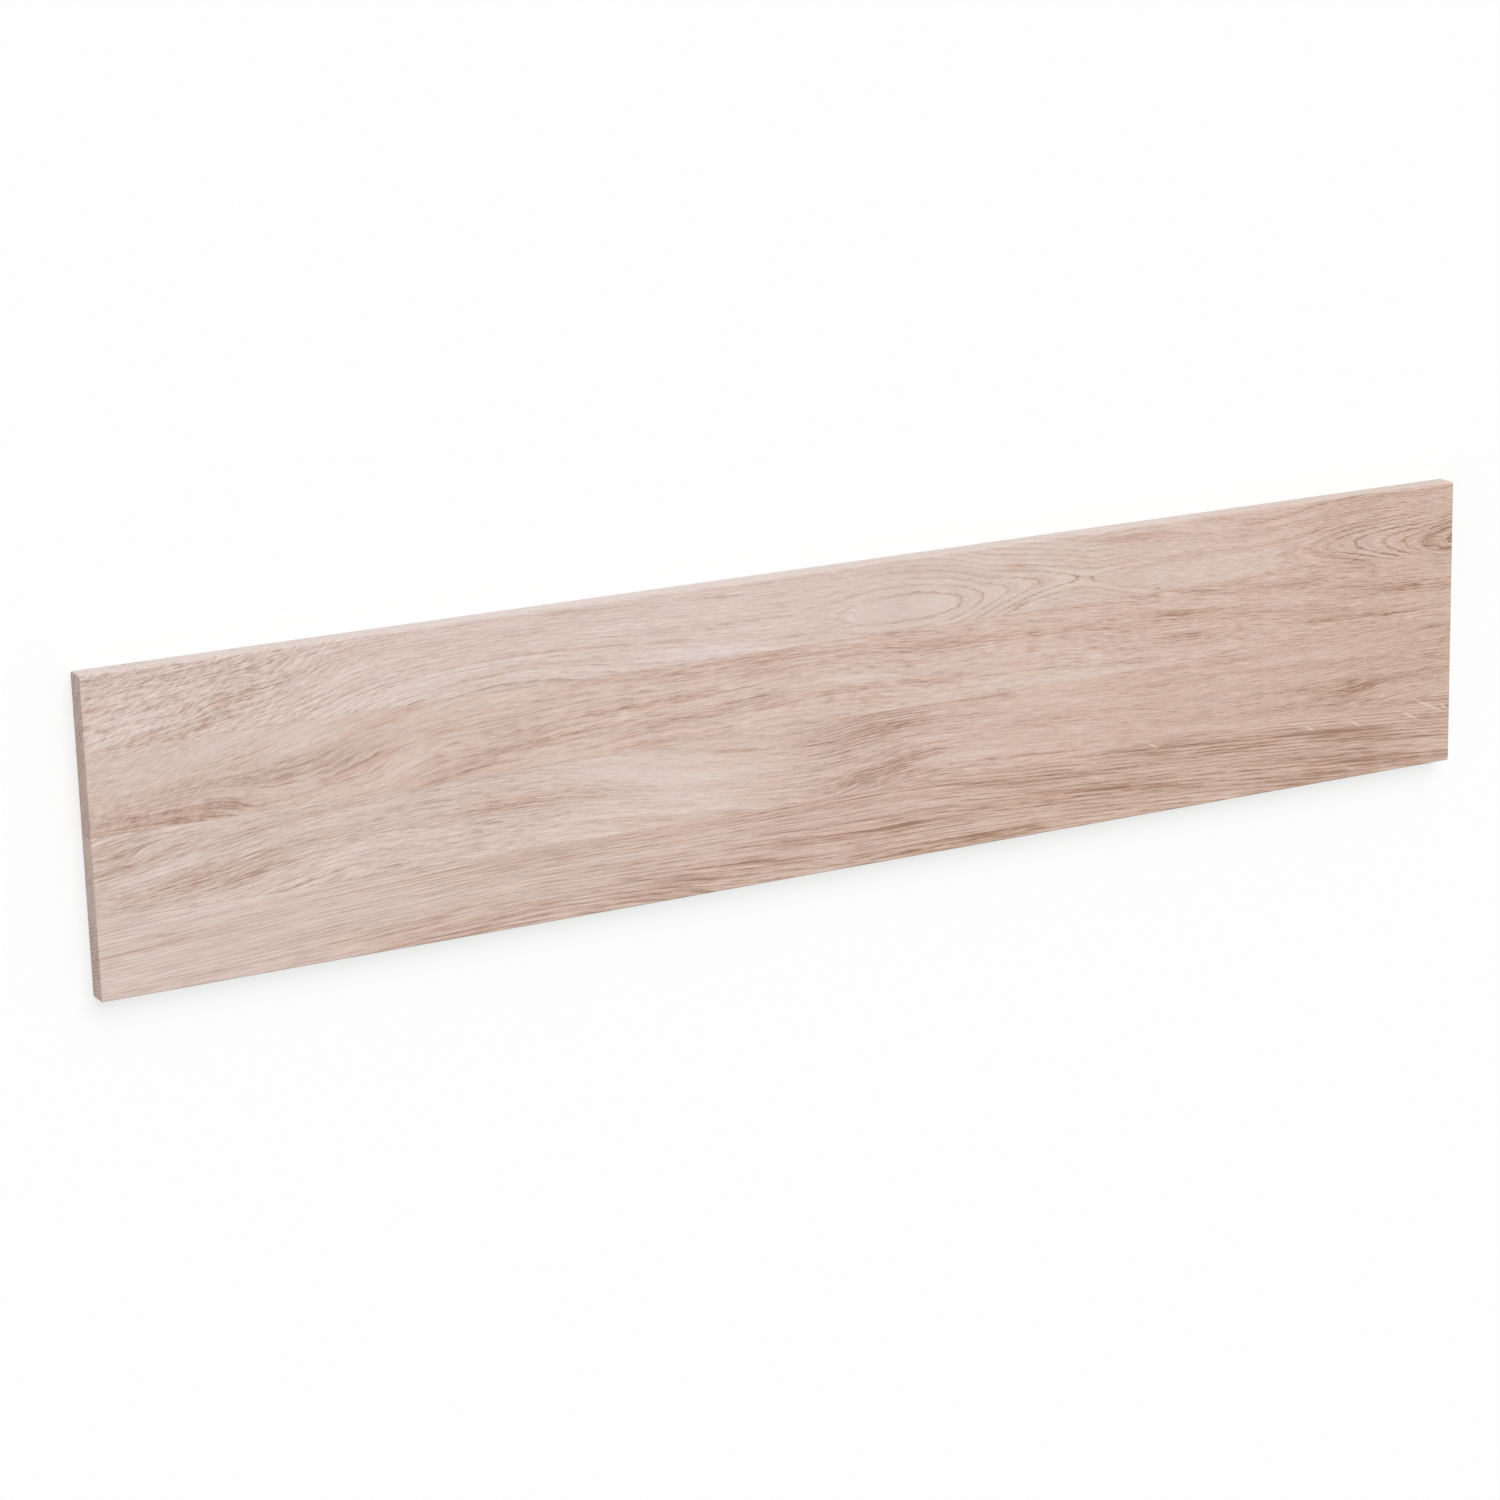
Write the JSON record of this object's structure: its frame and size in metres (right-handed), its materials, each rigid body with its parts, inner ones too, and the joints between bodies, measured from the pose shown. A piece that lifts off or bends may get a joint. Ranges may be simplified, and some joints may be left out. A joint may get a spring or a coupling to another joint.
{
  "type": "stair riser board",
  "caption": "Flat oak stair riser board, edge-glued from full-length staves and planed, with plain square edges and lightly rounded arrises.",
  "frame": {"origin": "centre of the back face, which lies on the floor", "axes": "+X along the grain, +Y from the lower long edge to the upper long edge as the riser is fitted, +Z out of the show face"},
  "size_m": [1, 0.2, 0.015],
  "materials": {
    "oak": "planed and sanded, unfinished, matt"
  },
  "bodies": {
    "root": {"stave_bottom": "oak", "stave_lower_middle": "oak", "stave_upper_middle": "oak", "stave_top": "oak"}
  },
  "joints": []
}
